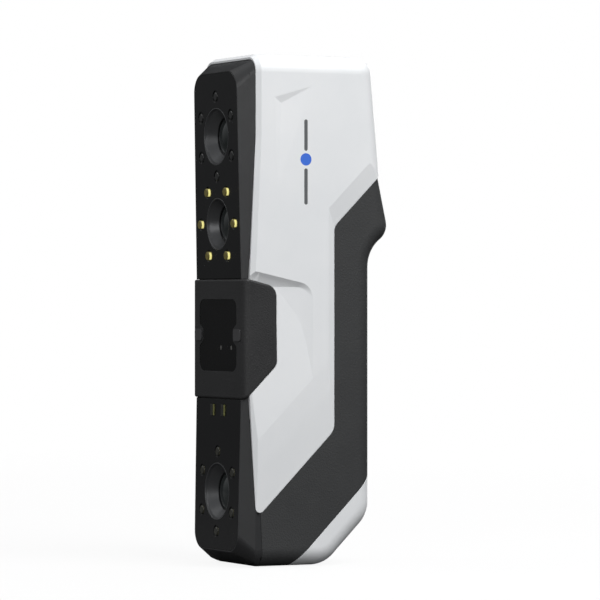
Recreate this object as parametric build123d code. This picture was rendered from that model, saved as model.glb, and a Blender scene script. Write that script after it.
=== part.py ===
"""A handheld 3-D scanner, modelled as it comes apart on the bench.

Frame: +Z along the body from the base to the top, -Y towards the cameras, +X to the right-hand side.
The origin is the middle of the base. All sizes are in millimetres and angles in degrees.
"""

import os
from math import atan, cos, degrees, hypot, pi, radians, sin, tan

from build123d import *

# ---- Driving dimensions ---------------------------------------------------------------------------
HEIGHT = 215.0
HALF_WIDTH = 26.0  # white casing
GRIP_HALF_WIDTH = 24.6  # rubber grip and tail cap
FRONT_Y = -36.0  # foremost line of the camera face
GRIP_BACK_Y = 27.0  # back of the handle
TOP_BACK_Y = 27.0  # back of the casing at the very top
NECK_BACK_Y = 31.6  # back of the casing just above the grip's hook
NECK_Z = 165.0
CASING_ROUND = 7.5
GRIP_ROUND = 7.6
WALL = 2.1
INNER_ROUND = 3.2  # inside the core under the grip
FIT = 0.1  # gap between neighbouring covers
REACH = 60.0  # half length of a cutting body that passes right through
BELOW, ABOVE = -5.0, 225.0  # heights clear of the body's two ends

# Side view of the body: (y, z) corners, each with its radius.
BODY_OUTLINE = [
    ((-37.0, 0.0), 0.0),
    ((6.2, 0.0), 14.0),
    ((GRIP_BACK_Y, 20.8), 14.0),
    ((GRIP_BACK_Y, 133.0), 14.5),
    ((36.9, 140.6), 8.0),
    ((NECK_BACK_Y, NECK_Z), 30.0),
    ((TOP_BACK_Y, HEIGHT), 7.6),
    ((-37.0, HEIGHT), 0.0),
]

# The camera face is a shallow V, so that all cameras look at one working distance.
APEX_Z = 97.0
APEX_Y = -33.7
FACE_Z = (6.4, 208.0)
TOE_IN = degrees(atan((APEX_Y - FRONT_Y) / (FACE_Z[1] - APEX_Z)))

# Bezel: a frame whose sides flare from the camera face back to the casing.
FACE_HALF_WIDTH = 20.9
FACE_CORNER = 8.2
FLARE_FRONT_Y = -36.2
FLARE_BACK_Y = -25.0
FLARE_BACK_HALF_WIDTH = 26.9
FLARE_BACK_Z = (-0.1, 214.9)
FLARE_BACK_CORNER = 3.6
BEZEL_LOW_HALF_WIDTH = 24.8  # beside the grip, below the seam's top
BEZEL_WALL = 2.4
BEZEL_FRONT_WALL = 3.5  # depth of the back of its front wall under the face
SKIRT_HALF_WIDTH = 23.7
SKIRT_BACK_Y = -25.5
SKIRT_FRONT_Y = -31.0
SKIRT_THICKNESS = 1.8
SKIRT_SPANS = [(30.0, 60.0), (131.0, 207.0)]
PANEL_BORDER = 0.5
PANEL_RECESS = 1.3
PANEL_THICKNESS = 1.2
UPPER_PANEL_BOTTOM = 120.9
LOWER_PANEL_TOP = 70.0

# Edges of the grip and the casing in the side view. A 45 degree edge is given by its z - y.
GRIP_LINE_Y = 8.2
GRIP_UPPER = 134.7
GRIP_LOWER = 48.7
TAIL_EDGE = 11.4
TIP_ROUND = 2.1  # of the white casing's lower tip, above the seam
SEAM_TOP = (-26.66, 22.95)
SEAM_BOTTOM = (-25.3, -2.0)
CASING_FRONT = [
    (-28.8, ABOVE),
    (-28.8, 180.0),
    (-31.5, 121.0),
    (-31.5, 71.0),
    (-28.74, SEAM_TOP[1]),
    SEAM_TOP,
]
CASING_FRONT_ROUNDS = [0.0, 0.0, 0.0, 0.0, TIP_ROUND, 0.0]
RIM_CHAMFER = (2.1, 1.3)  # along Y and X
POCKET_WALL = 2.2  # white casing, where it is thinned from inside
THICK_SPAN = (62.0, 129.0)  # left thick behind the projector cover

# Facets of the casing's sides.
BAND_Y = 4.9  # where the band beside the grip starts
BAND_DEPTH = 1.4
UPPER_CREASE = 145.7
LOWER_CREASE = 75.7
LOWER_SLOPE = 0.0733
FLOOR_CREASE = 81.5
FLOOR_SLOPE = 0.0496
CREASE_SLOPE = 0.0419
COVE_END = 0.08
STEP_START = (-27.6, 123.5)  # front end of the step above the cover
STEP_FALL = 0.22  # how much its edge falls per millimetre towards the back
STEP_REAR_Y = -2.7
STEP_ROUND = 7.0
STEP_CORNER_FACETS = 7
STEP_RUN = 7.0  # how far the hollow runs from the step's edge
STEP_SLOPES = (0.66, 0.26)  # at the edge, above and behind
TOP_HOLLOW = [(-3.1, 201.8), (-19.1, 160.0), (-20.6, 196.9)]  # its two fading ends and its deep corner
TOP_HOLLOW_SLOPE = 0.055
TOP_STEP_SLOPE = 0.18

# Cameras.
CAMERA_Z = {"upper": 181.0, "middle": 144.0, "lower": 31.0}
MOUTH_RADIUS = {"upper": 11.7, "middle": 10.6, "lower": 11.7}
LED_CIRCLE = {"upper": 16.9, "middle": 16.2, "lower": 16.9}
LED_ANGLES = {
    "upper": (30, 90, 150, 210, 270, 330),
    "middle": (0, 56, 124, 180, 236, 304),
    "lower": (30, 90, 150, 210, 270, 330),
}
LED_RADIUS = 1.9
LED_HOLE_RADIUS = 2.0
LED_TIP_DEPTH = {"upper": -0.15, "middle": -1.05, "lower": -0.3}
LED_RING_RADIUS = 2.6  # shallow seat round each LED
LED_RING_DEPTH = 0.35
LED_TIP_ROUND = 0.5
LED_BOARD_DEPTH = (4.0, 5.0)
HOOD_LIP = 0.45
HOOD_FLANGE = 1.6
MOUTH_WALL = (0.4, 1.0)  # how far the mouth's rim narrows, over what depth
HOOD_DEPTH = 4.6
HOOD_BACK = 5.4
THROAT_RADIUS = 8.2
NOSE_RADIUS = 8.1
BARREL_RADIUS = 9.2
BARREL_BORE = 7.5
BARREL_DEPTH = (4.7, 22.2)
GLASS_DEPTH = (3.3, 8.0)
GLASS_DOME = 18.0
CAMERA_BOARD_SIZE = 20.0
CAMERA_BOARD_BACK = 23.4
CAMERA_SCREW_X = 8.2
MARKER_Z = 65.4
MARKER_X = 5.2
MARKER_SIZE = (2.4, 4.8)
MARKER_PROUD = 0.85

# Projector cover, its window and what lies behind.
COVER_Y = -34.6
COVER_HALF_WIDTH = 25.4
COVER_CORNER = 3.0
COVER_WALL = 2.0
COVER_SIDE = [(-40.0, 120.6), (-32.5, 120.6), (-19.1, 117.3), (-19.1, 84.6), (-33.4, 70.3), (-40.0, 70.3)]
COVER_SIDE_ROUNDS = [0.0, 2.0, 5.0, 5.0, 2.0, 0.0]
WINDOW_HALF_WIDTH = 18.2
WINDOW_Z = (81.8, 112.2)
WAIST_HALF_WIDTH = 14.65
WAIST_Z = (94.6, 99.6)
WAIST_RAMP = 2.2
GLASS_INSET = 0.15
GLASS_BACK_Y = -32.5
BEZEL_OPENING = (28.0, 25.0)
PAD_X = (15.7, 22.3)
PAD_HEIGHT = 0.4
PAD_CORNER = 1.2
LASER_Z = 104.5
EMITTER_Z = 91.7
EMITTER_X = 5.0
PROJECTOR_FRONT_Y = -31.2
PROJECTOR_HALF_WIDTH = 12.0
LASER_HALF_HEIGHT = 6.5
LASER_LENS_RADIUS = 4.6
EMITTER_HALF_HEIGHT = 5.5
EMITTER_LENS_RADIUS = 2.6
SINK_Z = (85.0, 112.0)
SINK_BASE = 2.0
SINK_DEPTH = 9.0
FIN_COUNT = 7
FIN_PITCH = 3.75
FIN_THICKNESS = 1.5

# Chassis and boards.
CHASSIS_Y = (-22.0, -19.0)
CHASSIS_HALF_WIDTH = 19.2
CHASSIS_Z = (10.0, 205.0)
RAIL_X = 18.3
RAIL_SPANS = [((20.0, 56.0), 21.6), ((66.0, 126.0), 21.6), ((152.0, 198.0), 24.6)]
BOARD_Y = (-2.0, -0.4)
BOARD_HALF_WIDTH = 17.0
BOARD_CORNER = 2.0
BOARD_Z = (46.0, 150.0)
BOARD_CONNECTOR_Z = (146.0, 128.0, 56.0)  # upper, middle and lower camera
CHIPS = [
    ((-8.0, 8.0), 1.6, (92.0, 108.0)),
    ((-12.0, -3.0), 1.6, (74.0, 86.0)),
    ((3.0, 12.0), 1.6, (74.0, 86.0)),
    ((-5.0, 5.0), 1.2, (118.0, 128.0)),
]  # x range, height above the board, z range
SPREADER_HALF_WIDTH = 14.5
SPREADER_WALL = 1.5
SPREADER_Z = (71.0, 111.0)
SPREADER_FOOT_Z = (88.0, 96.0)
POST_RADIUS = 2.4
POST_X = 14.2
POST_Z = (52.0, 144.0)
BEZEL_POST_X = 15.2
BEZEL_POST_Z = (60.0, 164.0)
SMALL_SCREW_RADIUS = 1.0
SMALL_HEAD_RADIUS = 1.9

# Keypad on the upper back.
KEYPAD_Z = 188.0
KEYPAD_SIZE = (17.0, 36.0)
KEYPAD_WALL = 2.0
KEYPAD_LIP = 1.2
KEYPAD_DEPTH = 6.4
BUTTON_PROUD = 0.4
BUTTON_GAP = 0.15
BUTTON_FLANGE = 0.5
BUTTON_FLANGE_DEPTH = 2.75
BUTTON_Z = {"mode": 10.9, "plus": 5.3, "scan": -3.0, "minus": -11.3}
ROUND_BUTTONS = {"mode": 2.2, "scan": 4.9}
BAR_BUTTON = (9.4, 4.4)
LIGHT_Z = 15.0
LIGHT_SIZE = (6.0, 1.3)
STEM_RADIUS = 1.0
STEM_HOLE_RADIUS = 1.15
STEM_DEPTH = 5.2
SWITCH_DEPTH = 4.0
SWITCH_SIZE = 3.6

# Cable socket in the slanted tail.
TAIL_MIDDLE = (16.6, 10.4)
SOCKET_BORE_RADIUS = 4.5
SOCKET_BORE_LENGTH = 8.0
SOCKET_RADIUS = 6.0
SOCKET_LENGTH = 12.0
SOCKET_FLANGE_RADIUS = 8.0
SOCKET_FLANGE = 1.3
INSULATOR_RADIUS = 4.2
CONTACT_COUNT = 8
CONTACT_CIRCLE = 2.8
CONTACT_RADIUS = 0.45
NUT_THICKNESS = 2.4
NUT_RADIUS = 8.4
SEAL_RADIUS = 7.6

# Casing screws, given as (y, z), all under the rubber grip.
CASING_SCREWS = [(15.0, 126.0), (15.0, 48.0), (-6.0, 24.0)]
SCREW_RADIUS = 1.25
BOSS_RADIUS = 4.0
BOSS_END_X = 21.5
HEAD_RADIUS = 2.6
HEAD_SEAT_X = -8.0
HEAD_LENGTH = 2.2
DRIVE_RADIUS = 1.3
SCREW_TIP_X = 8.0


# ---- Helpers --------------------------------------------------------------------------------------
def side_face(points, radii=0.0):
    """A face in the side view, from (y, z) corners."""
    line = FilletPolyline(*[(y, z, 0) for y, z in points], radius=radii, close=True)
    return Plane.YZ * make_face(line)


def side_prism(points, radii=0.0, half_width=REACH):
    """A side-view face carried through the body to both sides."""
    return extrude(side_face(points, radii), amount=half_width, both=True)


def block(x_range, y_range, z_range):
    ranges = (x_range, y_range, z_range)
    middle = [(low + high) / 2 for low, high in ranges]
    return Pos(*middle) * Box(*[high - low for low, high in ranges])


def plate(sketch, y_low, y_high):
    """A front-view sketch as a plate from y_low to y_high."""
    return Pos(0, y_high, 0) * extrude(Plane.XZ * sketch, amount=y_high - y_low)


def rod(radius, y_low, y_high, x=0.0, z=0.0):
    """A round rod along Y."""
    return Pos(x, 0, z) * plate(Circle(radius), y_low, y_high)


def cross_rod(radius, x_low, x_high, spot):
    """A round rod along X through the side-view spot (y, z)."""
    y, z = spot
    return Pos(x_low, y, z) * extrude(Plane.YZ * Circle(radius), amount=x_high - x_low)


def turned(points):
    """A body turned about Y, from (radius, y) corners."""
    return revolve(make_face(Polyline(*points, close=True)), axis=Axis.Y)


def gather(shapes):
    """Separate equal pieces that are bought and fitted together."""
    return Compound(children=[solid for shape in shapes for solid in shape.solids()])


def front_y(z):
    return APEX_Y - tan(radians(TOE_IN)) * abs(z - APEX_Z)


def on_face(shape, z):
    """Moves a shape drawn with +Y as its depth to the camera face at height z."""
    lean = TOE_IN if z > APEX_Z else -TOE_IN
    return Pos(0, front_y(z), z) * Rot(lean, 0, 0) * shape


def on_back(shape):
    """Moves a shape drawn about the keypad's middle, with +Y outwards, to the upper back."""
    share = (KEYPAD_Z - NECK_Z) / (HEIGHT - NECK_Z)
    lean = degrees(atan((NECK_BACK_Y - TOP_BACK_Y) / (HEIGHT - NECK_Z)))
    back_y = NECK_BACK_Y + share * (TOP_BACK_Y - NECK_BACK_Y)
    return Pos(0, back_y, KEYPAD_Z) * Rot(lean, 0, 0) * shape


def on_tail(shape):
    """Moves a shape drawn with +Y outwards to the middle of the slanted tail."""
    return Pos(0, *TAIL_MIDDLE) * Rot(-45, 0, 0) * shape


def facet(start, end, slope):
    """What lies outside a plane that leaves the casing's flat side along a side-view line.

    The plane sinks into the casing to the right of the line's direction, by slope per millimetre.
    """
    length = hypot(end[0] - start[0], end[1] - start[1])
    right = ((end[1] - start[1]) / length, (start[0] - end[0]) / length)
    plane = Plane(origin=(HALF_WIDTH, *start), z_dir=(1, slope * right[0], slope * right[1]))
    return plane.location * Pos(0, 0, 4 * REACH) * Box(16 * REACH, 16 * REACH, 8 * REACH)


def cove(start, end, slope, run):
    """As a facet, but hollow: the slope at the line fades to COVE_END over the run."""
    steep, gentle = atan(slope), atan(COVE_END)
    radius = run / (sin(steep) - sin(gentle))

    def fading(angle):
        return radius * (sin(steep) - sin(angle)), radius * (cos(steep) - cos(angle))

    arc = ThreePointArc((0, 0), fading((steep + gentle) / 2), fading(gentle))
    far = 8 * REACH
    deep_x, deep_y = fading(gentle)
    floor_end = (deep_x + far, deep_y - COVE_END * far)
    rest = Polyline((deep_x, deep_y), floor_end, (floor_end[0], far), (-far, far), (-far, 0), (0, 0))
    length = hypot(end[0] - start[0], end[1] - start[1])
    along_y, along_z = (end[0] - start[0]) / length, (end[1] - start[1]) / length
    plane = Plane(origin=(HALF_WIDTH, *start), x_dir=(0, along_z, -along_y), z_dir=(0, -along_y, -along_z))
    return extrude(plane * make_face([arc, rest]), amount=far, both=True)


# ---- Body shapes ----------------------------------------------------------------------------------
def rounded_body(inset, half_width, rounding):
    """The body's side view, inset and carried to half_width, with its long edges rounded."""
    face = side_face([corner for corner, _ in BODY_OUTLINE], [radius for _, radius in BODY_OUTLINE])
    if inset:
        face = offset(face, amount=-inset)
    body = extrude(face, amount=half_width, both=True)
    front = body.bounding_box().min.Y
    edges = [edge for side in body.faces().filter_by(Axis.X) for edge in side.edges()]
    return fillet([edge for edge in edges if edge.center().Y > front + 0.5], rounding)


def grip_zone(gap=0.0):
    """Everything behind the grip's edge and above the tail cap's edge, less a gap."""
    return side_prism(
        [
            (60.0, 60.0 + GRIP_UPPER - 2 * gap),
            (GRIP_LINE_Y + gap, GRIP_LINE_Y + GRIP_UPPER - gap),
            (GRIP_LINE_Y + gap, GRIP_LINE_Y + GRIP_LOWER - gap),
            (SEAM_TOP[1] - GRIP_LOWER + gap, SEAM_TOP[1] - gap),
            (SEAM_TOP[0] + gap, SEAM_TOP[1] - gap),
            (SEAM_BOTTOM[0] + gap, SEAM_BOTTOM[1]),
            (SEAM_BOTTOM[1] - TAIL_EDGE - gap, SEAM_BOTTOM[1]),
            (60.0, 60.0 + TAIL_EDGE + gap),
        ],
        [0.0, 6.0, 7.0, TIP_ROUND, 0.0, 0.0, 0.0, 0.0],
    )


def tail_zone(gap=0.0):
    return side_prism([(-20.0 + gap, -20.0 + TAIL_EDGE - gap), (60.0, 60.0 + TAIL_EDGE - gap), (60.0, -20.0)])


def front_zone(gap=0.0):
    """Everything in front of the casing's front edge and of the seam below it."""
    edge = [(y - gap, z) for y, z in CASING_FRONT + [SEAM_BOTTOM]]
    edge += [(-REACH, SEAM_BOTTOM[1]), (-REACH, ABOVE)]
    return side_prism(edge, CASING_FRONT_ROUNDS + [0.0, 0.0, 0.0])


def face_slab(depth_from, depth_to):
    """What lies between two depths under the V of the camera face."""
    heights = (BELOW, APEX_Z, ABOVE)
    near = [(front_y(z) + depth_from, z) for z in heights]
    far = [(front_y(z) + depth_to, z) for z in reversed(heights)]
    return side_prism(near + far)


def flare_section(y, half_width, z_range, corner, border):
    low, high = z_range
    outline = RectangleRounded(2 * (half_width - border), high - low - 2 * border, corner - border)
    return Pos(0, y, (low + high) / 2) * (Plane.XZ * outline)


def flare(border=0.0):
    """The flared block the bezel is cut from; border makes it smaller all round."""
    front = flare_section(FLARE_FRONT_Y, FACE_HALF_WIDTH, FACE_Z, FACE_CORNER, border)
    back = flare_section(FLARE_BACK_Y, FLARE_BACK_HALF_WIDTH, FLARE_BACK_Z, FLARE_BACK_CORNER, border)
    return loft([front, back], ruled=True)


def cover_block(inset, gap):
    """The projector cover's outside, inset, within its side view, grown by a gap."""
    depth = 30.0
    outline = RectangleRounded(2 * (COVER_HALF_WIDTH - inset), depth, COVER_CORNER - min(inset, 2.0))
    bar = extrude(Pos(0, COVER_Y + inset + depth / 2, 60.0) * outline, amount=70.0)
    lift = [gap, gap, gap, -gap, -gap, -gap]
    shift = [0.0, gap / 4, gap, gap, gap / 4, 0.0]
    side = [(y + dy, z + dz) for (y, z), dy, dz in zip(COVER_SIDE, shift, lift)]
    return bar & side_prism(side, COVER_SIDE_ROUNDS)


def cover_shell(gap=0.0):
    """The projector cover's wall, thickened by a gap."""
    return cover_block(-gap, gap) - cover_block(COVER_WALL + gap, gap + 5.0)


def window_sketch(gap=0.0):
    """The window's outline: a rounded rectangle with a waist."""
    low, high = WINDOW_Z
    sketch = RectangleRounded(2 * (WINDOW_HALF_WIDTH + gap), high - low + 2 * gap, 4.0 + gap)
    waist_low, waist_high = (z - (low + high) / 2 for z in WAIST_Z)
    inner = WAIST_HALF_WIDTH + gap
    outer = WINDOW_HALF_WIDTH + 5.0
    run = WAIST_RAMP * (outer - inner) / (WINDOW_HALF_WIDTH - WAIST_HALF_WIDTH)
    notch = [(inner, waist_low), (inner, waist_high), (outer, waist_high + run), (outer, waist_low - run)]
    right = make_face(Polyline(*notch, close=True))
    sketch = sketch - right - mirror(right, about=Plane.YZ)
    return Pos(0, (low + high) / 2) * sketch


def led_spots(camera):
    return [
        (LED_CIRCLE[camera] * cos(radians(angle)), LED_CIRCLE[camera] * sin(radians(angle)))
        for angle in LED_ANGLES[camera]
    ]


def face_holes(camera, hood_gap, led_radius):
    """Cutting rods for one camera's hood and LEDs."""
    mouth = MOUTH_RADIUS[camera] + HOOD_LIP + hood_gap
    rods = [rod(mouth, -3.0, BEZEL_FRONT_WALL + 1.0)]
    rods += [rod(led_radius, -3.0, BEZEL_FRONT_WALL + 1.0, x, z) for x, z in led_spots(camera)]
    return [on_face(shape, CAMERA_Z[camera]) for shape in rods]


def marker_sketch(gap=0.0):
    mark = Rectangle(MARKER_SIZE[0] + 2 * gap, MARKER_SIZE[1] + 2 * gap)
    return Pos(-MARKER_X, MARKER_Z) * mark + Pos(MARKER_X, MARKER_Z) * mark


# ---- Casing ---------------------------------------------------------------------------------------
def along(offset_z, direction=1):
    """A 45 degree side-view line z - y = offset_z, as its start and end."""
    return (0.0, offset_z), (float(direction), offset_z + direction)


def step_lines():
    """The step's edge round the projector cover, as short lines with a slope: above, corner and rear."""
    steep, gentle = STEP_SLOPES
    lean = atan(STEP_FALL)
    middle_y = STEP_REAR_Y - STEP_ROUND
    middle_z = STEP_START[1] - STEP_FALL * (middle_y - STEP_START[0]) - STEP_ROUND / cos(lean)
    lines = []
    for step in range(STEP_CORNER_FACETS + 1):
        share = step / STEP_CORNER_FACETS
        turn = lean + (pi / 2 - lean) * share
        start = (middle_y + STEP_ROUND * sin(turn), middle_z + STEP_ROUND * cos(turn))
        end = (start[0] + cos(turn), start[1] - sin(turn))
        lines.append((start, end, steep + (gentle - steep) * share))
    return lines


def side_facets():
    """What the facets and hollows take off the casing's right side."""
    band = facet((BAND_Y, 0.0), (BAND_Y, 1.0), BAND_DEPTH / (GRIP_LINE_Y - BAND_Y))
    upper = facet(*along(UPPER_CREASE), BAND_DEPTH * 2 ** 0.5 / (UPPER_CREASE - GRIP_UPPER))
    cuts = [band & upper]
    cuts.append(facet(*along(FLOOR_CREASE), CREASE_SLOPE))
    cuts.append(facet(*along(LOWER_CREASE), LOWER_SLOPE))

    step = facet(*along(FLOOR_CREASE, -1), FLOOR_SLOPE)
    for start, end, slope in step_lines():
        step &= cove(start, end, slope, STEP_RUN)
    cuts.append(step & cove((-30.5, 127.6), STEP_START, STEP_SLOPES[0], STEP_RUN))
    cuts.append(step & block((0, REACH), (STEP_START[0], REACH), (0, HEIGHT)))

    fade_top, fade_low, deep = TOP_HOLLOW
    floor = facet(fade_top, fade_low, TOP_HOLLOW_SLOPE)
    cuts.append(floor & facet(deep, fade_top, TOP_STEP_SLOPE) & facet(fade_low, deep, TOP_STEP_SLOPE))
    return cuts


def rim_section(y, chamfer):
    """The casing's front view at y, with its outline moved in by the chamfer."""
    half_width = HALF_WIDTH - chamfer
    height = HEIGHT - chamfer
    outline = RectangleRounded(2 * half_width, 2 * height, CASING_ROUND - chamfer)
    return Pos(0, y, 0) * (Plane.XZ * outline)


def rim_cuts():
    """What the chamfer takes off the casing's front rim: across the top, and down the right side."""
    along_y, along_x = RIM_CHAMFER
    edge = [(y + along_y, z) for y, z in CASING_FRONT[:5]]
    start, end = CASING_FRONT[0][0], edge[0][0]
    sloping = loft([rim_section(start, along_x), rim_section(end, 0.0)], ruled=True)
    top = block((-REACH, REACH), (start, end), (HEIGHT - CASING_ROUND, HEIGHT + 1.0)) - sloping

    side = block((0, REACH), (-REACH, 0), (0, HEIGHT - CASING_ROUND))
    upper, slanted, middle, lower = (facet(high, low, along_x / along_y) for high, low in zip(edge, edge[1:]))
    return [top, side & upper & slanted, side & middle, side & lower]


def casing():
    """Both side shells as one, with the white outside and the core under the grip."""
    white = rounded_body(0.0, HALF_WIDTH, CASING_ROUND)
    for cut in side_facets() + rim_cuts():
        white = white - cut - mirror(cut, about=Plane.YZ)
    white = white - grip_zone() - tail_zone()
    core = rounded_body(WALL, GRIP_HALF_WIDTH - WALL, GRIP_ROUND - WALL - 0.1)
    pocket = rounded_body(POCKET_WALL, HALF_WIDTH - POCKET_WALL, CASING_ROUND - POCKET_WALL)
    pocket = pocket - grip_zone(-POCKET_WALL) - block((-REACH, REACH), (-REACH, 2.0), THICK_SPAN)
    shell = white + core - rounded_body(2 * WALL, GRIP_HALF_WIDTH - 2 * WALL, INNER_ROUND) - pocket
    return shell - front_zone() - cover_shell(FIT)


def rails(side):
    """Pairs of ribs that hold the chassis plate by its edge; side is 1 or -1."""
    ribs = []
    for z_range, wall_x in RAIL_SPANS:
        x_range = sorted((side * RAIL_X, side * wall_x))
        ribs.append(block(x_range, (CHASSIS_Y[0] - 1.7, CHASSIS_Y[0]), z_range))
        ribs.append(block(x_range, (CHASSIS_Y[1], CHASSIS_Y[1] + 1.7), z_range))
    return ribs


def side_shells():
    shell = casing()
    shell -= on_back(plate(keypad_sketch(FIT), -5.0, 5.0))
    shell -= on_tail(rod(SOCKET_RADIUS, -10.0, 10.0))
    right = shell & block((0, REACH), (-REACH, REACH), (BELOW, ABOVE))
    left = shell & block((-REACH, 0), (-REACH, REACH), (BELOW, ABOVE))
    for spot in CASING_SCREWS:
        right += cross_rod(BOSS_RADIUS, 0.0, BOSS_END_X, spot)
        left += cross_rod(BOSS_RADIUS, -BOSS_END_X, 0.0, spot)
    for rib in rails(1):
        right += rib
    for rib in rails(-1):
        left += rib
    for spot in CASING_SCREWS:
        right -= cross_rod(SCREW_RADIUS, 0.0, SCREW_TIP_X + 2.0, spot)
        left -= cross_rod(SCREW_RADIUS + 0.15, -REACH, 0.0, spot)
        left -= cross_rod(HEAD_RADIUS + 0.15, -REACH, HEAD_SEAT_X, spot)
    return right, left


def casing_screws():
    screws = []
    for spot in CASING_SCREWS:
        head = cross_rod(HEAD_RADIUS, HEAD_SEAT_X - HEAD_LENGTH, HEAD_SEAT_X, spot)
        drive = extrude(Plane.YZ * RegularPolygon(DRIVE_RADIUS, 6), amount=DRIVE_RADIUS)
        drive = Pos(HEAD_SEAT_X - HEAD_LENGTH, *spot) * drive
        screws.append(head - drive + cross_rod(SCREW_RADIUS, HEAD_SEAT_X, SCREW_TIP_X, spot))
    return gather(screws)


def front_bezel():
    outside = rounded_body(0.0, HALF_WIDTH, CASING_ROUND)
    low = block((-REACH, REACH), (-REACH, REACH), (BELOW, SEAM_TOP[1]))
    outside -= low - rounded_body(0.0, BEZEL_LOW_HALF_WIDTH, GRIP_ROUND)
    bezel = outside & flare() & front_zone(FIT)
    bezel -= face_slab(-30.0, 0.0)
    bezel -= flare(BEZEL_WALL) & face_slab(BEZEL_FRONT_WALL, 30.0)
    for z_range in SKIRT_SPANS:
        for side in (-1, 1):
            x_range = sorted((side * SKIRT_HALF_WIDTH, side * (SKIRT_HALF_WIDTH - SKIRT_THICKNESS)))
            bezel += block(x_range, (SKIRT_FRONT_Y, SKIRT_BACK_Y), z_range)
    bezel -= flare(PANEL_BORDER) & face_slab(-1.0, PANEL_RECESS)
    bezel -= cover_shell(FIT)
    middle = sum(WINDOW_Z) / 2
    bezel -= plate(Pos(0, middle) * RectangleRounded(*BEZEL_OPENING, 2.0), -40.0, -25.0)
    bezel -= plate(marker_sketch(0.15), -40.0, -25.0)
    for x in (-BEZEL_POST_X, BEZEL_POST_X):
        for z in BEZEL_POST_Z:
            bezel += rod(POST_RADIUS, front_y(z) + BEZEL_FRONT_WALL - 0.5, CHASSIS_Y[0], x, z)
            bezel -= rod(SMALL_SCREW_RADIUS, CHASSIS_Y[0] - 6.0, CHASSIS_Y[0], x, z)
    for camera in CAMERA_Z:
        for hole in face_holes(camera, 0.1, LED_HOLE_RADIUS + 0.3):
            bezel -= hole
    return bezel


def front_panel(z_range, cameras):
    panel = flare(PANEL_BORDER + FIT) & face_slab(0.0, PANEL_THICKNESS)
    panel &= block((-REACH, REACH), (-REACH, 0), z_range)
    for camera in cameras:
        for hole in face_holes(camera, 0.05, LED_HOLE_RADIUS):
            panel -= hole
        for x, z in led_spots(camera):
            panel -= on_face(rod(LED_RING_RADIUS, -3.0, LED_RING_DEPTH, x, z), CAMERA_Z[camera])
    return panel


def projector_cover():
    outside = cover_block(0.0, 0.0)
    ends = [edge for edge in outside.edges() if abs(edge.center().X) > COVER_HALF_WIDTH - 0.01]
    outside = fillet([edge for edge in ends if edge.center().Y > -31.0], 0.8)
    cover = outside - cover_block(COVER_WALL, 5.0)
    return cover - plate(window_sketch(), -40.0, -30.0)


def cover_pads():
    """Grey finger pads at the window's waist."""
    low, high = WAIST_Z
    pad = RectangleRounded(PAD_X[1] - PAD_X[0], high - low, PAD_CORNER)
    pad = Pos((PAD_X[0] + PAD_X[1]) / 2, (low + high) / 2) * pad
    right = plate(pad, COVER_Y - PAD_HEIGHT, COVER_Y)
    return gather([right, mirror(right, about=Plane.YZ)])


def rubber_grip():
    grip = rounded_body(0.0, GRIP_HALF_WIDTH, GRIP_ROUND) & grip_zone(FIT)
    grip -= rounded_body(WALL, GRIP_HALF_WIDTH - WALL, GRIP_ROUND - WALL - 0.1)
    return grip - front_zone(-FIT)


def tail_cap():
    cap = rounded_body(0.0, GRIP_HALF_WIDTH, GRIP_ROUND) & tail_zone(FIT)
    cap -= rounded_body(WALL, GRIP_HALF_WIDTH - WALL, GRIP_ROUND - WALL - 0.1)
    return cap - on_tail(rod(SOCKET_FLANGE_RADIUS + FIT, -10.0, 10.0))


# ---- Keypad ---------------------------------------------------------------------------------------
def keypad_sketch(grow=0.0):
    width, height = KEYPAD_SIZE
    return SlotOverall(height + 2 * grow, width + 2 * grow, rotation=90)


def button_sketch(name, grow=0.0):
    if name in ROUND_BUTTONS:
        return Pos(0, BUTTON_Z[name]) * Circle(ROUND_BUTTONS[name] + grow)
    width, height = BAR_BUTTON
    return Pos(0, BUTTON_Z[name]) * SlotOverall(width + 2 * grow, height + 2 * grow)


def keypad_frame():
    frame = plate(keypad_sketch(), -KEYPAD_DEPTH, 0.0)
    frame += plate(keypad_sketch(KEYPAD_LIP), -POCKET_WALL - 1.2, -POCKET_WALL - 0.05)
    frame -= plate(keypad_sketch(-1.2), -KEYPAD_DEPTH, -KEYPAD_WALL)
    for name in BUTTON_Z:
        frame -= plate(button_sketch(name, BUTTON_GAP), -5.0, 1.0)
    return on_back(frame - light_bar(0.05))


def light_bar(grow=0.0):
    width, height = LIGHT_SIZE
    bar = Pos(0, LIGHT_Z) * RectangleRounded(width + 2 * grow, height + 2 * grow, 0.5 + grow)
    return plate(bar, -KEYPAD_DEPTH, grow)


def button(name):
    """A cap with its retaining flange and the stem that works the switch."""
    cap = plate(button_sketch(name), -BUTTON_FLANGE_DEPTH, BUTTON_PROUD)
    top = cap.faces().sort_by(Axis.Y)[-1]
    cap = fillet(top.edges(), 0.35)
    cap += plate(button_sketch(name, BUTTON_FLANGE), -BUTTON_FLANGE_DEPTH, -KEYPAD_WALL)
    cap += rod(STEM_RADIUS, -STEM_DEPTH, -BUTTON_FLANGE_DEPTH, 0.0, BUTTON_Z[name])
    return on_back(cap)


def tact_switches():
    switches = []
    for z in BUTTON_Z.values():
        body = block((-SWITCH_SIZE / 2, SWITCH_SIZE / 2), (-KEYPAD_DEPTH, -SWITCH_DEPTH), (z - 1.8, z + 1.8))
        switches.append(on_back(body - rod(STEM_HOLE_RADIUS, -KEYPAD_DEPTH + 0.2, 0.0, 0.0, z)))
    return gather(switches)


def button_board():
    return on_back(plate(keypad_sketch(-0.2), -KEYPAD_DEPTH - 1.2, -KEYPAD_DEPTH))


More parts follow.
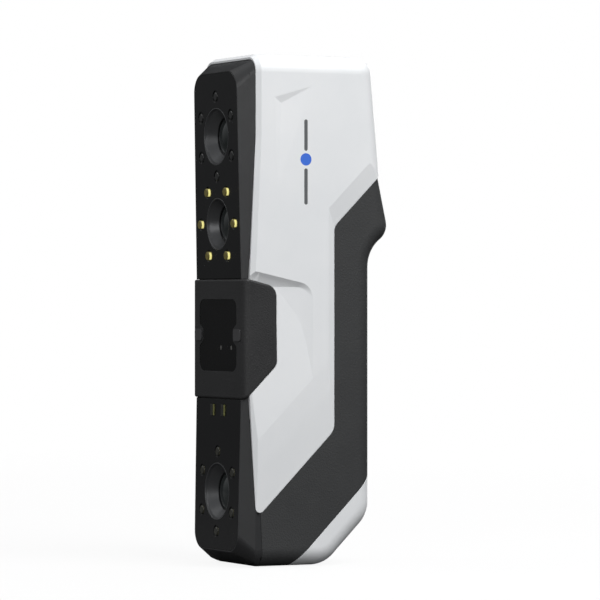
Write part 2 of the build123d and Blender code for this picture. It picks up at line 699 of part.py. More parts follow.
# ---- Cameras --------------------------------------------------------------------------------------
def lens_hood(camera):
    mouth = MOUTH_RADIUS[camera]
    profile = [
        (mouth, 0.0),
        (mouth + HOOD_LIP, 0.0),
        (mouth + HOOD_LIP, BEZEL_FRONT_WALL + 0.05),
        (mouth + HOOD_FLANGE, BEZEL_FRONT_WALL + 0.05),
        (mouth + HOOD_FLANGE, HOOD_BACK),
        (THROAT_RADIUS, HOOD_BACK),
        (THROAT_RADIUS, HOOD_DEPTH),
        (mouth - MOUTH_WALL[0], MOUTH_WALL[1]),
    ]
    return on_face(turned(profile), CAMERA_Z[camera])


def lens_barrel(camera):
    front, back = BARREL_DEPTH
    profile = [
        (BARREL_BORE, front),
        (NOSE_RADIUS, front),
        (NOSE_RADIUS, HOOD_BACK + 0.2),
        (BARREL_RADIUS, HOOD_BACK + 0.2),
        (BARREL_RADIUS, back),
        (BARREL_BORE, back),
    ]
    return on_face(turned(profile), CAMERA_Z[camera])


def lens_glass(camera):
    """The front element, a disc with a domed front."""
    dome = Pos(0, GLASS_DEPTH[0] + GLASS_DOME, 0) * Sphere(GLASS_DOME)
    return on_face(rod(BARREL_BORE, *GLASS_DEPTH) & dome, CAMERA_Z[camera])


def camera_corners():
    return [(-CAMERA_SCREW_X, CAMERA_SCREW_X), (CAMERA_SCREW_X, -CAMERA_SCREW_X)]


def camera_board(camera):
    """The image sensor's board, with the sensor in front and a cable connector behind."""
    half = CAMERA_BOARD_SIZE / 2
    back = CAMERA_BOARD_BACK
    board = plate(RectangleRounded(2 * half, 2 * half, 1.5), BARREL_DEPTH[1], back)
    board += block((-4, 4), (BARREL_DEPTH[1] - 1.0, BARREL_DEPTH[1]), (-4, 4))
    toward = 1 if camera == "lower" else -1
    board += block((-5, 5), (back, back + 1.5), sorted((toward * 8.5, toward * 5.0)))
    for x, z in camera_corners():
        board -= rod(SMALL_SCREW_RADIUS, 0.0, back + 1.0, x, z)
    return on_face(board, CAMERA_Z[camera])


def camera_screws():
    screws = []
    for height in CAMERA_Z.values():
        for x, z in camera_corners():
            screw = rod(SMALL_SCREW_RADIUS, CAMERA_BOARD_BACK - 5.0, CAMERA_BOARD_BACK, x, z)
            screw += rod(1.7, CAMERA_BOARD_BACK, CAMERA_BOARD_BACK + 1.0, x, z)
            screws.append(on_face(screw, height))
    return gather(screws)


def led_board(camera):
    near, far = LED_BOARD_DEPTH
    outline = Circle(LED_CIRCLE[camera] + 1.7) - Circle(MOUTH_RADIUS[camera] + HOOD_FLANGE + 0.2)
    if camera == "lower":
        outline += Pos(0, 27.0) * Rectangle(15.0, 22.0)
    return on_face(plate(outline, near, far), CAMERA_Z[camera])


def leds(camera):
    """The round LEDs with softly domed tips."""
    lamps = []
    for x, z in led_spots(camera):
        lamp = rod(LED_RADIUS, LED_TIP_DEPTH[camera], LED_BOARD_DEPTH[0], x, z)
        lamp = fillet(lamp.edges().sort_by(Axis.Y)[0], LED_TIP_ROUND)
        lamps.append(on_face(lamp, CAMERA_Z[camera]))
    return gather(lamps)


def marker_leds():
    face = front_y(MARKER_Z)
    lamps = plate(marker_sketch(), face - MARKER_PROUD, face + LED_BOARD_DEPTH[0] - 0.1)
    front = [edge for edge in lamps.edges() if edge.center().Y < face - MARKER_PROUD + 0.01]
    return gather([fillet(front, 0.25)])


# ---- Projector ------------------------------------------------------------------------------------
def projector_housing(middle_z, half_height):
    x_range = (-PROJECTOR_HALF_WIDTH, PROJECTOR_HALF_WIDTH)
    return block(x_range, (PROJECTOR_FRONT_Y, CHASSIS_Y[0]), (middle_z - half_height, middle_z + half_height))


def laser_projector():
    """The projector's housing and its lens."""
    front = PROJECTOR_FRONT_Y
    housing = projector_housing(LASER_Z, LASER_HALF_HEIGHT)
    housing -= rod(LASER_LENS_RADIUS, front, front + 5.0, 0.0, LASER_Z)
    lens = rod(LASER_LENS_RADIUS, front + 0.6, front + 3.6, 0.0, LASER_Z)
    return housing, fillet(lens.edges().sort_by(Axis.Y)[0], 0.4)


def infrared_projector():
    """The twin projector below the laser, and its two lenses."""
    front = PROJECTOR_FRONT_Y
    housing = projector_housing(EMITTER_Z, EMITTER_HALF_HEIGHT)
    lenses = []
    for x in (-EMITTER_X, EMITTER_X):
        housing -= rod(EMITTER_LENS_RADIUS, front, front + 4.0, x, EMITTER_Z)
        lenses.append(rod(EMITTER_LENS_RADIUS, front + 0.5, front + 2.5, x, EMITTER_Z))
    return housing, gather(lenses)


def heat_sink():
    base_y = CHASSIS_Y[1]
    sink = block((-PROJECTOR_HALF_WIDTH, PROJECTOR_HALF_WIDTH), (base_y, base_y + SINK_BASE), SINK_Z)
    for step in range(FIN_COUNT):
        x = -PROJECTOR_HALF_WIDTH + step * FIN_PITCH
        sink += block((x, x + FIN_THICKNESS), (base_y + SINK_BASE, base_y + SINK_DEPTH), SINK_Z)
    return sink


# ---- Chassis and boards ---------------------------------------------------------------------------
def chassis():
    low, high = CHASSIS_Z
    outline = Pos(0, (low + high) / 2) * RectangleRounded(2 * CHASSIS_HALF_WIDTH, high - low, 6.0)
    frame = plate(outline, *CHASSIS_Y)
    for x in (-POST_X, POST_X):
        for z in POST_Z:
            frame += rod(POST_RADIUS, CHASSIS_Y[1], BOARD_Y[0], x, z)
            frame -= rod(SMALL_SCREW_RADIUS, BOARD_Y[0] - 6.0, BOARD_Y[0], x, z)
    for height in CAMERA_Z.values():
        for x, z in camera_corners():
            frame += on_face(rod(1.8, 14.5, BARREL_DEPTH[1], x, z), height)
            frame -= on_face(rod(SMALL_SCREW_RADIUS, CAMERA_BOARD_BACK - 5.0, BARREL_DEPTH[1], x, z), height)
        frame -= on_face(rod(BARREL_RADIUS, 5.0, 30.0), height)
    for x in (-BEZEL_POST_X, BEZEL_POST_X):
        for z in BEZEL_POST_Z:
            frame -= rod(SMALL_SCREW_RADIUS, *CHASSIS_Y, x, z)
    for z in (66.0, 124.0):
        frame -= plate(Pos(0, z) * SlotOverall(24.0, 8.0), *CHASSIS_Y)
    return frame


def small_screw(x, z, seat_y, length):
    """A pan-head screw along Y with its head behind seat_y."""
    screw = rod(SMALL_SCREW_RADIUS, seat_y - length, seat_y, x, z)
    screw += rod(SMALL_HEAD_RADIUS, seat_y, seat_y + 1.3, x, z)
    return screw - (Pos(x, 0, z) * plate(RegularPolygon(0.8, 6), seat_y + 0.6, seat_y + 1.3))


def chassis_screws():
    screws = [small_screw(x, z, BOARD_Y[1], 6.0) for x in (-POST_X, POST_X) for z in POST_Z]
    for x in (-BEZEL_POST_X, BEZEL_POST_X):
        screws += [small_screw(x, z, CHASSIS_Y[1], 8.0) for z in BEZEL_POST_Z]
    return gather(screws)


def main_board():
    low, high = BOARD_Z
    outline = RectangleRounded(2 * BOARD_HALF_WIDTH, high - low, BOARD_CORNER)
    board = plate(Pos(0, (low + high) / 2) * outline, *BOARD_Y)
    for x in (-POST_X, POST_X):
        for z in POST_Z:
            board -= rod(SMALL_SCREW_RADIUS, *BOARD_Y, x, z)
    return board


def board_connectors():
    front = [block((-5.5, 5.5), (BOARD_Y[0] - 2.0, BOARD_Y[0]), (z - 2, z + 2)) for z in BOARD_CONNECTOR_Z]
    return gather(front + [block((-6, 6), (BOARD_Y[1], BOARD_Y[1] + 4.0), (48, 54))])


def board_chips():
    back = BOARD_Y[1]
    return gather([block(x_range, (back, back + height), z_range) for x_range, height, z_range in CHIPS])


def heat_spreader():
    face = BOARD_Y[1] + CHIPS[0][1]
    back = face + SPREADER_WALL
    spreader = block((-SPREADER_HALF_WIDTH, SPREADER_HALF_WIDTH), (face, back), SPREADER_Z)
    for x in (-SPREADER_HALF_WIDTH, SPREADER_HALF_WIDTH - SPREADER_WALL):
        spreader += block((x, x + SPREADER_WALL), (BOARD_Y[1], back), SPREADER_FOOT_Z)
    return spreader


def ribbon(points):
    """A flat cable, 9 mm wide, along side-view points."""
    line = FilletPolyline(*[(y, z) for y, z in points], radius=1.5)
    return extrude(Plane.YZ * trace(line, 0.4), amount=4.5, both=True)


def flex_cables():
    upper = ribbon([(-10.4, 174.5), (-7.5, 174.5), (-7.5, 146.0), (-4.1, 146.0)])
    middle = ribbon([(-9.4, 137.6), (-6.5, 137.6), (-6.5, 128.0), (-4.1, 128.0)])
    lower = ribbon([(-9.9, 37.6), (-6.5, 37.6), (-6.5, 56.0), (-4.1, 56.0)])
    return gather([upper, middle, lower])


def harness():
    """The bundle of wires from the socket to the main board."""
    start = (0, TAIL_MIDDLE[0] - 9.2, TAIL_MIDDLE[1] + 9.2)
    path = Spline((start, (0, 2.4, 30.0), (0, 1.4, 48.0)), tangents=((0, -1, 1), (0, 0, 1)))
    return sweep(Plane(origin=path @ 0, z_dir=path % 0) * Circle(1.6), path=path)


# ---- Socket ---------------------------------------------------------------------------------------
def socket_shell():
    shell = rod(SOCKET_RADIUS, -SOCKET_LENGTH, 0.0) + rod(SOCKET_FLANGE_RADIUS, -SOCKET_FLANGE, 0.0)
    shell -= rod(SOCKET_BORE_RADIUS, -SOCKET_BORE_LENGTH, 0.0)
    return on_tail(shell - rod(INSULATOR_RADIUS, -SOCKET_LENGTH, 0.0))


def contact_rods(radius, y_low, y_high):
    rods = []
    for step in range(CONTACT_COUNT):
        turn = radians(360.0 / CONTACT_COUNT * step)
        rods.append(rod(radius, y_low, y_high, CONTACT_CIRCLE * cos(turn), CONTACT_CIRCLE * sin(turn)))
    return rods


def socket_insulator():
    insulator = rod(INSULATOR_RADIUS, -SOCKET_LENGTH, -SOCKET_BORE_LENGTH)
    for hole in contact_rods(CONTACT_RADIUS, -SOCKET_LENGTH, -SOCKET_BORE_LENGTH):
        insulator -= hole
    return on_tail(insulator)


def socket_contacts():
    pins = contact_rods(CONTACT_RADIUS, -SOCKET_LENGTH - 0.8, -SOCKET_BORE_LENGTH)
    return gather([on_tail(pin) for pin in pins])


def socket_seal():
    return on_tail(plate(Circle(SEAL_RADIUS) - Circle(SOCKET_RADIUS), -WALL, -SOCKET_FLANGE))


def socket_nut():
    nut = plate(RegularPolygon(NUT_RADIUS, 6) - Circle(SOCKET_RADIUS), -2 * WALL - NUT_THICKNESS, -2 * WALL)
    return on_tail(nut)


# ---- All pieces -----------------------------------------------------------------------------------
def build():
    right, left = side_shells()
    laser_housing, laser_lens = laser_projector()
    infrared_housing, infrared_lenses = infrared_projector()
    lower_panel = front_panel((BELOW, LOWER_PANEL_TOP), ("lower",)) - plate(marker_sketch(0.1), -40.0, -25.0)
    pieces = {
        "right_side_shell": right,
        "left_side_shell": left,
        "front_bezel": front_bezel(),
        "upper_front_panel": front_panel((UPPER_PANEL_BOTTOM, ABOVE), ("upper", "middle")),
        "lower_front_panel": lower_panel,
        "projector_cover": projector_cover(),
        "cover_pads": cover_pads(),
        "projector_window": plate(window_sketch(-0.05), COVER_Y + GLASS_INSET, GLASS_BACK_Y),
        "rubber_grip": rubber_grip(),
        "tail_cap": tail_cap(),
        "keypad_frame": keypad_frame(),
        "status_light_guide": on_back(light_bar()),
        "tact_switches": tact_switches(),
        "button_board": button_board(),
        "marker_leds": marker_leds(),
        "laser_projector_housing": laser_housing,
        "laser_projector_lens": laser_lens,
        "infrared_projector_housing": infrared_housing,
        "infrared_projector_lenses": infrared_lenses,
        "projector_heat_sink": heat_sink(),
        "chassis": chassis(),
        "main_board": main_board(),
        "board_connectors": board_connectors(),
        "board_chips": board_chips(),
        "heat_spreader": heat_spreader(),
        "camera_flex_cables": flex_cables(),
        "socket_harness": harness(),
        "socket_shell": socket_shell(),
        "socket_insulator": socket_insulator(),
        "socket_contacts": socket_contacts(),
        "socket_seal": socket_seal(),
        "socket_nut": socket_nut(),
        "casing_screws": casing_screws(),
        "chassis_screws": chassis_screws(),
        "camera_screws": camera_screws(),
    }
    for name in BUTTON_Z:
        pieces[f"{name}_button"] = button(name)
    for camera in CAMERA_Z:
        pieces[f"{camera}_lens_hood"] = lens_hood(camera)
        pieces[f"{camera}_lens_barrel"] = lens_barrel(camera)
        pieces[f"{camera}_lens_glass"] = lens_glass(camera)
        pieces[f"{camera}_camera_board"] = camera_board(camera)
        pieces[f"{camera}_led_board"] = led_board(camera)
        pieces[f"{camera}_leds"] = leds(camera)
    return pieces


if __name__ == "__main__":
    os.makedirs("parts", exist_ok=True)
    for node, shape in build().items():
        export_step(shape, f"parts/{node}.step")
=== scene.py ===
"""Looks of the handheld scanner: procedural finishes, the printed side mark, lights and camera."""
import math

import bpy
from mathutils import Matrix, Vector


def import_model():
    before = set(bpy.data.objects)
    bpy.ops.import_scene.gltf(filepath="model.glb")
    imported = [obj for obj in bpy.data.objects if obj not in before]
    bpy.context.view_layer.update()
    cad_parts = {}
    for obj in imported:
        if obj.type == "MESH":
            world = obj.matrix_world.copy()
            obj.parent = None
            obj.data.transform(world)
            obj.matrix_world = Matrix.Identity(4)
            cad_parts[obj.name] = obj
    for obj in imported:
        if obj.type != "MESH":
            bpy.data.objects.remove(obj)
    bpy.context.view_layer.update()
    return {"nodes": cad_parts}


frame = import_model()
nodes = frame["nodes"]

SCENE = bpy.context.scene
MM = 0.001


# ---- Node trees -----------------------------------------------------------------------------------
class Finish:
    """A material whose nodes are added one call at a time."""

    def __init__(self, name, color, roughness, metallic=0.0, specular=0.5, coat=0.0, coat_roughness=0.1):
        self.material = bpy.data.materials.new(name)
        self.material.use_nodes = True
        self.tree = self.material.node_tree
        self.shader = self.tree.nodes["Principled BSDF"]
        self.shader.inputs["Base Color"].default_value = (*color, 1.0)
        self.shader.inputs["Roughness"].default_value = roughness
        self.shader.inputs["Metallic"].default_value = metallic
        self.shader.inputs["Specular IOR Level"].default_value = specular
        self.shader.inputs["Coat Weight"].default_value = coat
        self.shader.inputs["Coat Roughness"].default_value = coat_roughness
        self.place = self.add("ShaderNodeTexCoord").outputs["Object"]

    def add(self, kind, **values):
        node = self.tree.nodes.new(kind)
        for key, value in values.items():
            setattr(node, key, value)
        return node

    def link(self, source, target):
        self.tree.links.new(source, target)

    def noise(self, per_mm, detail=3.0, rough=0.55, stretch=(1.0, 1.0, 1.0)):
        """Noise with the given number of features per millimetre."""
        mapping = self.add("ShaderNodeMapping")
        mapping.inputs["Scale"].default_value = stretch
        self.link(self.place, mapping.inputs["Vector"])
        node = self.add("ShaderNodeTexNoise")
        node.inputs["Scale"].default_value = per_mm / MM
        node.inputs["Detail"].default_value = detail
        node.inputs["Roughness"].default_value = rough
        self.link(mapping.outputs["Vector"], node.inputs["Vector"])
        return node.outputs["Fac"]

    def cells(self, per_mm):
        """The distance to the nearest of scattered points, so many per millimetre."""
        node = self.add("ShaderNodeTexVoronoi", feature="F1")
        node.inputs["Scale"].default_value = per_mm / MM
        self.link(self.place, node.inputs["Vector"])
        return node.outputs["Distance"]

    def spread(self, source, low, high, start=0.3, end=0.7):
        """The source as a number from low to high."""
        node = self.add("ShaderNodeMapRange")
        node.inputs["From Min"].default_value = start
        node.inputs["From Max"].default_value = end
        node.inputs["To Min"].default_value = low
        node.inputs["To Max"].default_value = high
        self.link(source, node.inputs["Value"])
        return node.outputs["Result"]

    def colors(self, source, low, high):
        """The source as a colour from low to high."""
        node = self.add("ShaderNodeValToRGB")
        node.color_ramp.elements[0].position = 0.3
        node.color_ramp.elements[0].color = (*low, 1.0)
        node.color_ramp.elements[1].position = 0.7
        node.color_ramp.elements[1].color = (*high, 1.0)
        self.link(source, node.inputs["Fac"])
        self.link(node.outputs["Color"], self.shader.inputs["Base Color"])

    def roughness(self, source, low, high):
        self.link(self.spread(source, low, high), self.shader.inputs["Roughness"])

    def bump(self, source, height_mm, under=None):
        node = self.add("ShaderNodeBump")
        node.inputs["Distance"].default_value = height_mm * MM
        node.inputs["Strength"].default_value = 1.0
        self.link(source, node.inputs["Height"])
        if under is not None:
            self.link(under, node.inputs["Normal"])
        self.link(node.outputs["Normal"], self.shader.inputs["Normal"])

    def soft_edges(self, radius_mm):
        """Rounds sharp edges for the light only."""
        node = self.add("ShaderNodeBevel", samples=6)
        node.inputs["Radius"].default_value = radius_mm * MM
        return node.outputs["Normal"]

    def math(self, operation, first, second=None):
        node = self.add("ShaderNodeMath", operation=operation)
        for socket, value in zip(node.inputs, (first, second)):
            if isinstance(value, (int, float)):
                socket.default_value = value
            elif value is not None:
                self.link(value, socket)
        return node.outputs["Value"]

    def axes(self):
        """The X, Y and Z of the point, in metres."""
        node = self.add("ShaderNodeSeparateXYZ")
        self.link(self.place, node.inputs["Vector"])
        return node.outputs

    def facing(self, axis):
        """How squarely the surface faces along an axis of the model, from -1 to 1."""
        split = self.add("ShaderNodeSeparateXYZ")
        self.link(self.add("ShaderNodeTexCoord").outputs["Normal"], split.inputs["Vector"])
        return split.outputs[axis]

    def bar(self, across, along, middle, half, rounding):
        """1 inside a rounded bar on a flat side, 0 outside; sizes in millimetres."""
        reach = []
        for value, centre, size in zip((across, along), middle, half):
            offset = self.math("ABSOLUTE", self.math("SUBTRACT", value, centre * MM))
            reach.append(self.math("MAXIMUM", self.math("SUBTRACT", offset, (size - rounding) * MM), 0.0))
        squares = [self.math("MULTIPLY", value, value) for value in reach]
        distance = self.math("SQRT", self.math("ADD", *squares))
        return self.math("LESS_THAN", distance, rounding * MM)

    def paint(self, mask, color):
        """Lays a colour over the finish where the mask is 1."""
        socket = self.shader.inputs["Base Color"]
        mix = self.add("ShaderNodeMix", data_type="RGBA")
        below = socket.links[0].from_socket
        colors = [item for item in mix.inputs if item.type == "RGBA"]
        self.link(mask, mix.inputs["Factor"])
        self.link(below, colors[0])
        colors[1].default_value = (*color, 1.0)
        result = next(item for item in mix.outputs if item.type == "RGBA")
        self.link(result, socket)


def moulded(name, low, high, rough, grain, edge_mm=0.25, **extra):
    """Moulded plastic: a slight mottle, a fine grain (per mm, height in mm) and uneven gloss."""
    finish = Finish(name, high, rough[0], **extra)
    finish.colors(finish.noise(0.03, 4.0), low, high)
    finish.roughness(finish.noise(0.35, 4.0), *rough)
    finish.bump(finish.noise(grain[0], 2.0), grain[1], under=finish.soft_edges(edge_mm))
    return finish


def leathered(name, low, high, rough, cells, edge_mm=0.3, **extra):
    """Grained plastic or rubber: small raised pebbles with fine noise between them."""
    finish = Finish(name, high, rough[0], **extra)
    finish.colors(finish.noise(0.05, 5.0), low, high)
    pebbles = finish.cells(cells[0])
    fine = finish.noise(cells[0] * 3.0, 3.0)
    height = finish.math("ADD", pebbles, finish.math("MULTIPLY", fine, 0.6))
    finish.roughness(finish.noise(0.4, 4.0), *rough)
    finish.bump(height, cells[1], under=finish.soft_edges(edge_mm))
    return finish


def brushed(name, low, high, rough, stretch, grain_mm=0.004, **extra):
    """Turned or drawn metal, with its grain along one axis."""
    finish = Finish(name, high, rough[0], metallic=1.0, **extra)
    streaks = finish.noise(3.0, 3.0, stretch=stretch)
    finish.colors(streaks, low, high)
    finish.roughness(streaks, *rough)
    finish.bump(streaks, grain_mm, under=finish.soft_edges(0.15))
    return finish


# ---- Finishes -------------------------------------------------------------------------------------
WHITE_LOW, WHITE_HIGH = (0.82, 0.835, 0.85), (0.865, 0.875, 0.885)
MARK_GREY = (0.12, 0.125, 0.13)
MARK_BLUE = (0.05, 0.17, 0.72)
MARK_Y = -5.9
MARK_FROM_X = 25.0  # the mark is printed only on what lies further out
MARK_LINES = ((181.2, 6.6), (159.6, 7.6))  # middle height and half length
MARK_LINE_HALF = 0.8
MARK_DOT_Z = 171.0
MARK_DOT_RADIUS = 2.6
# Painted glowing highlight on each infrared emitter: middle (either side in x, z), half size in mm, and
# glow.
EMITTER_AT = (5.0, 91.7)
GLINT_HALF = (0.7, 0.9)
GLINT_GLOW = 1.2
LED_SIDEWAYS = (0.45, 0.75)  # how far the wall turns sideways before its painted highlight is full
LED_FRONTAL = (0.05, 0.25)  # how far the front edge turns forward before the painted highlight is gone
WINDOW_ALPHA = 0.8


def white_casing(name, marked=False):
    finish = moulded(name, WHITE_LOW, WHITE_HIGH, (0.42, 0.5), (3.0, 0.01), edge_mm=0.35)
    if marked:
        side_mark(finish)
    return finish


def side_mark(finish):
    """A generic printed mark on the right side: a blue dot between two grey lines."""
    axes = finish.axes()
    outside = finish.math("GREATER_THAN", axes["X"], MARK_FROM_X * MM)
    lines = [
        finish.bar(axes["Y"], axes["Z"], (MARK_Y, middle), (MARK_LINE_HALF, half), MARK_LINE_HALF)
        for middle, half in MARK_LINES
    ]
    dot_half = (MARK_DOT_RADIUS, MARK_DOT_RADIUS)
    dot = finish.bar(axes["Y"], axes["Z"], (MARK_Y, MARK_DOT_Z), dot_half, MARK_DOT_RADIUS)
    for mask, color in ((lines[0], MARK_GREY), (lines[1], MARK_GREY), (dot, MARK_BLUE)):
        finish.paint(finish.math("MULTIPLY", mask, outside), color)


def led(name, front, side, highlight_glow=0.0):
    """An LED body: its front shows the die through the lens; its wall gets a painted highlight where it
    turns sideways, and that painted highlight also glows when a glow strength is given.
    """
    finish = Finish(name, front, 0.22, specular=0.35, coat=0.25, coat_roughness=0.08)
    sideways = finish.spread(finish.math("ABSOLUTE", finish.facing("X")), 0.0, 1.0, *LED_SIDEWAYS)
    frontal = finish.spread(finish.math("ABSOLUTE", finish.facing("Y")), 0.0, 1.0, *LED_FRONTAL)
    painted_highlight_mask = finish.math("MULTIPLY", sideways, finish.math("SUBTRACT", 1.0, frontal))
    speckle = finish.noise(1.5, 3.0)
    finish.colors(speckle, tuple(0.55 * value for value in front), front)
    # side is the painted highlight colour, laid on the wall where it turns sideways
    finish.paint(painted_highlight_mask, side)
    finish.bump(speckle, 0.02)
    # the painted highlight glows as well
    if highlight_glow:
        finish.shader.inputs["Emission Color"].default_value = (*side, 1.0)
        finish.link(finish.math("MULTIPLY", painted_highlight_mask, highlight_glow), finish.shader.inputs["Emission Strength"])
    return finish


def coated_glass(name, color, tint, **extra):
    """Lens glass with a faint coating colour that varies over the surface."""
    finish = Finish(name, color, 0.04, coat_roughness=0.03, **extra)
    finish.colors(finish.noise(0.08, 2.0), color, tint)
    finish.roughness(finish.noise(0.5, 4.0), 0.03, 0.07)
    return finish


def emitter_glass(name):
    """The infrared lenses: dark glass with a painted pale, glowing highlight over each emitter."""
    finish = coated_glass(name, (0.01, 0.01, 0.012), (0.02, 0.02, 0.024))
    axes = finish.axes()
    across = finish.math("ABSOLUTE", axes["X"])
    painted_glint = finish.bar(across, axes["Z"], EMITTER_AT, GLINT_HALF, GLINT_HALF[0])
    # paints the pale highlight and makes it glow
    finish.paint(painted_glint, (0.8, 0.8, 0.75))
    finish.shader.inputs["Emission Color"].default_value = (1.0, 0.98, 0.94, 1.0)
    finish.link(finish.math("MULTIPLY", painted_glint, GLINT_GLOW), finish.shader.inputs["Emission Strength"])
    return finish


FINISHES = {
    "white_casing": white_casing("white_casing"),
    "black_bezel": moulded(
        "black_bezel", (0.023, 0.0235, 0.0245), (0.029, 0.0295, 0.031),
        (0.36, 0.44), (4.0, 0.01),
    ),
    "gloss_panel": moulded(
        "gloss_panel", (0.004, 0.004, 0.0045), (0.0055, 0.0055, 0.006),
        (0.14, 0.2), (0.4, 0.002), specular=0.38,
    ),
    "matte_cover": leathered(
        "matte_cover", (0.017, 0.017, 0.018), (0.023, 0.023, 0.024),
        (0.5, 0.6), (1.6, 0.08),
    ),
    "grey_pad": moulded(
        "grey_pad", (0.052, 0.051, 0.054), (0.06, 0.059, 0.062),
        (0.5, 0.6), (2.0, 0.02),
    ),
    "window_glass": coated_glass(
        "window_glass", (0.002, 0.002, 0.002), (0.003, 0.003, 0.003),
        specular=0.32,
    ),
    "grip_rubber": leathered(
        "grip_rubber", (0.03, 0.031, 0.032), (0.037, 0.038, 0.039),
        (0.6, 0.72), (1.4, 0.09),
    ),
    "light_guide": moulded(
        "light_guide", (0.7, 0.72, 0.72), (0.75, 0.77, 0.77),
        (0.2, 0.25), (2.0, 0.002),
    ),
    "lens_metal": brushed(
        "lens_metal", (0.03, 0.03, 0.032), (0.05, 0.05, 0.052),
        (0.3, 0.4), (1.0, 6.0, 1.0),
    ),
    "lens_glass": coated_glass("lens_glass", (0.018, 0.023, 0.0225), (0.024, 0.028, 0.028), coat=0.35),
    "green_board": moulded(
        "green_board", (0.01, 0.07, 0.03), (0.015, 0.09, 0.04),
        (0.35, 0.45), (1.0, 0.01),
    ),
    # second colour: painted highlight on the LED wall, which also glows
    "led_body": led("led_body", (0.27, 0.225, 0.06), (0.95, 0.87, 0.32), highlight_glow=0.7),
    "chip_plastic": moulded(
        "chip_plastic", (0.015, 0.015, 0.015), (0.02, 0.02, 0.02),
        (0.5, 0.6), (3.0, 0.01),
    ),
    "machined_aluminium": brushed(
        "machined_aluminium", (0.5, 0.51, 0.52), (0.62, 0.63, 0.64),
        (0.28, 0.4), (1.0, 1.0, 0.1),
    ),
    "flex_cable": moulded("flex_cable", (0.3, 0.12, 0.02), (0.36, 0.15, 0.03), (0.3, 0.4), (2.0, 0.005)),
    "plated_metal": brushed(
        "plated_metal", (0.55, 0.55, 0.54), (0.66, 0.66, 0.65),
        (0.22, 0.34), (1.0, 0.2, 0.2),
    ),
    "gold_contacts": brushed(
        "gold_contacts", (0.7, 0.5, 0.2), (0.78, 0.57, 0.25),
        (0.18, 0.28), (1.0, 0.3, 0.3), 0.002,
    ),
    "seal_rubber": leathered(
        "seal_rubber", (0.018, 0.018, 0.018), (0.024, 0.024, 0.024),
        (0.6, 0.7), (2.5, 0.02),
    ),
    "screw_steel": brushed(
        "screw_steel", (0.1, 0.1, 0.105), (0.14, 0.14, 0.145),
        (0.28, 0.4), (0.2, 1.0, 1.0),
    ),
}
SPECIAL = {
    "right_side_shell": white_casing("white_casing_marked", marked=True),
    "infrared_projector_lenses": emitter_glass("emitter_glass"),
    # the second colour of each LED is its painted side-wall highlight
    "upper_leds": led("dark_led", (0.03, 0.03, 0.03), (0.06, 0.06, 0.058)),
    "lower_leds": led("olive_led", (0.045, 0.044, 0.034), (0.2, 0.19, 0.12)),
    "marker_leds": led("marker_led", (0.04, 0.04, 0.034), (0.3, 0.3, 0.12)),
}
HOOD = moulded(
    "lens_hood", (0.085, 0.087, 0.09), (0.112, 0.114, 0.117),
    (0.3, 0.4), (4.0, 0.004), metallic=0.5,
)
for camera_name in ("upper", "middle", "lower"):
    SPECIAL[f"{camera_name}_lens_hood"] = HOOD
FINISHES["window_glass"].shader.inputs["Alpha"].default_value = WINDOW_ALPHA

for name, node in nodes.items():
    for index, old in enumerate(node.data.materials):
        finish = SPECIAL.get(name) or FINISHES[old.name.split(".")[0]]
        node.data.materials[index] = finish.material


# ---- Camera ---------------------------------------------------------------------------------------
LENS_MM = 217.7
CAMERA_AT = Vector((1388.3, -690.9, 111.9)) * MM
HEADING = math.radians(63.4)

camera_data = bpy.data.cameras.new("camera")
camera_data.lens = LENS_MM
camera_data.sensor_width = 36.0
camera = bpy.data.objects.new("camera", camera_data)
camera.location = CAMERA_AT
camera.rotation_euler = (math.radians(90.0), 0.0, HEADING)
SCENE.collection.objects.link(camera)
SCENE.camera = camera
SCENE.view_settings.view_transform = "Standard"


# ---- Studio ---------------------------------------------------------------------------------------
WORLD_LOW = 0.015
WORLD_HIGH = 0.5
DIM_SHARE = 0.04  # share of it that comes from behind on the left
DIM_TOWARDS = (-0.707, 0.707, 0.0)
DIM_RANGE = (0.3, 0.6)  # how far a direction points there before it dims, and is dimmest
WORLD_RISE = (-0.3, 0.7)  # sine of the elevation, where the light is lowest and highest
FLOOR_OPACITY = 0.1
FLOOR_REACH = 1.6
FLOOR_FADE = (0.25, 1.2)  # metres from the object
AIM = Vector((0.0, 0.0, 0.11))
SOFTBOXES = [
    ("key_light", 108.0, 50.0, 1.2, 0.8, 12.6),
    ("side_light", 50.0, 15.0, 1.7, 0.9, 4.6),
    ("fill_light", 325.0, 35.0, 1.5, 0.8, 3.2),
    ("back_light", 205.0, 50.0, 1.5, 0.8, 3.0),
    ("left_light", 232.0, 0.0, 1.5, 0.8, 8.0),
]  # name, azimuth, elevation, distance, size, watts


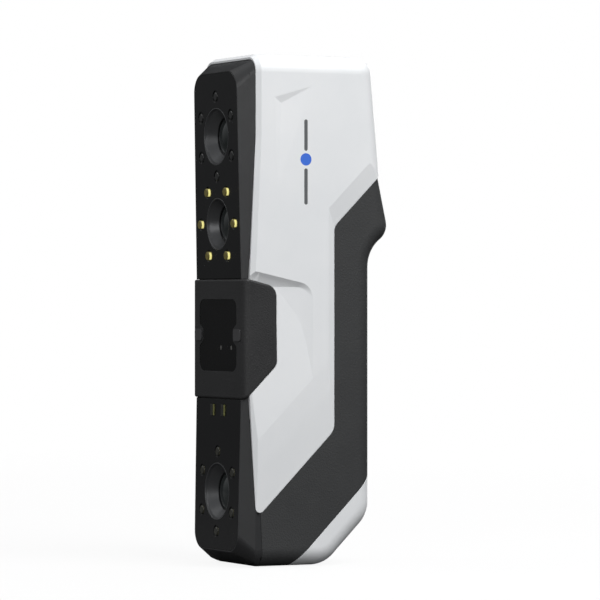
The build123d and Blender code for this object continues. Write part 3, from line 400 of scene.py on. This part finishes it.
def world():
    """Soft light, dim from below and from behind on the left; the camera sees a plain white backdrop."""
    studio = bpy.data.worlds.new("studio")
    studio.use_nodes = True
    tree = studio.node_tree
    tree.nodes.clear()
    output = tree.nodes.new("ShaderNodeOutputWorld")
    mix = tree.nodes.new("ShaderNodeMixShader")
    rays = tree.nodes.new("ShaderNodeLightPath")
    soft = tree.nodes.new("ShaderNodeBackground")
    pale = tree.nodes.new("ShaderNodeBackground")
    direction = tree.nodes.new("ShaderNodeTexCoord")
    split = tree.nodes.new("ShaderNodeSeparateXYZ")
    height = tree.nodes.new("ShaderNodeMapRange")
    height.interpolation_type = "SMOOTHSTEP"
    height.inputs["From Min"].default_value = WORLD_RISE[0]
    height.inputs["From Max"].default_value = WORLD_RISE[1]
    height.inputs["To Min"].default_value = WORLD_LOW
    height.inputs["To Max"].default_value = WORLD_HIGH
    side = tree.nodes.new("ShaderNodeMapRange")
    side.interpolation_type = "SMOOTHSTEP"
    side.inputs["From Min"].default_value = DIM_RANGE[0]
    side.inputs["From Max"].default_value = DIM_RANGE[1]
    side.inputs["To Min"].default_value = 1.0
    side.inputs["To Max"].default_value = DIM_SHARE
    towards = tree.nodes.new("ShaderNodeVectorMath")
    towards.operation = "DOT_PRODUCT"
    towards.inputs[1].default_value = DIM_TOWARDS
    strength = tree.nodes.new("ShaderNodeMath")
    strength.operation = "MULTIPLY"
    soft.inputs["Color"].default_value = (0.96, 0.98, 1.0, 1.0)
    pale.inputs["Color"].default_value = (1.0, 1.0, 1.0, 1.0)
    tree.links.new(direction.outputs["Generated"], split.inputs["Vector"])
    tree.links.new(split.outputs["Z"], height.inputs["Value"])
    tree.links.new(direction.outputs["Generated"], towards.inputs[0])
    tree.links.new(towards.outputs["Value"], side.inputs["Value"])
    tree.links.new(height.outputs["Result"], strength.inputs[0])
    tree.links.new(side.outputs["Result"], strength.inputs[1])
    tree.links.new(strength.outputs["Value"], soft.inputs["Strength"])
    tree.links.new(rays.outputs["Is Camera Ray"], mix.inputs["Fac"])
    tree.links.new(soft.outputs["Background"], mix.inputs[1])
    tree.links.new(pale.outputs["Background"], mix.inputs[2])
    tree.links.new(mix.outputs["Shader"], output.inputs["Surface"])
    SCENE.world = studio


def softbox(name, azimuth, elevation, distance, size, watts):
    """An area light aimed at the middle of the object."""
    light = bpy.data.lights.new(name, "AREA")
    light.shape = "DISK"
    light.size = size
    light.energy = watts
    item = bpy.data.objects.new(name, light)
    turn, rise = math.radians(azimuth), math.radians(elevation)
    direction = Vector((math.sin(turn) * math.cos(rise), -math.cos(turn) * math.cos(rise), math.sin(rise)))
    item.location = AIM + direction * distance
    item.rotation_euler = direction.to_track_quat("Z", "Y").to_euler()
    SCENE.collection.objects.link(item)


def floor():
    """A faint ground that fades out, so that the object stands on something."""
    mesh = bpy.data.meshes.new("floor")
    reach = FLOOR_REACH
    corners = [(-reach, -reach, 0.0), (reach, -reach, 0.0), (reach, reach, 0.0), (-reach, reach, 0.0)]
    mesh.from_pydata(corners, [], [(0, 1, 2, 3)])
    item = bpy.data.objects.new("floor", mesh)
    SCENE.collection.objects.link(item)
    item.location = (0.0, 0.0, -0.0003)
    pale = Finish("studio_floor", (0.85, 0.85, 0.85), 0.9)
    distance = pale.add("ShaderNodeVectorMath", operation="LENGTH")
    pale.link(pale.place, distance.inputs[0])
    fade = pale.spread(distance.outputs["Value"], FLOOR_OPACITY, 0.0, *FLOOR_FADE)
    pale.link(fade, pale.shader.inputs["Alpha"])
    mesh.materials.append(pale.material)


world()
for light_values in SOFTBOXES:
    softbox(*light_values)
floor()
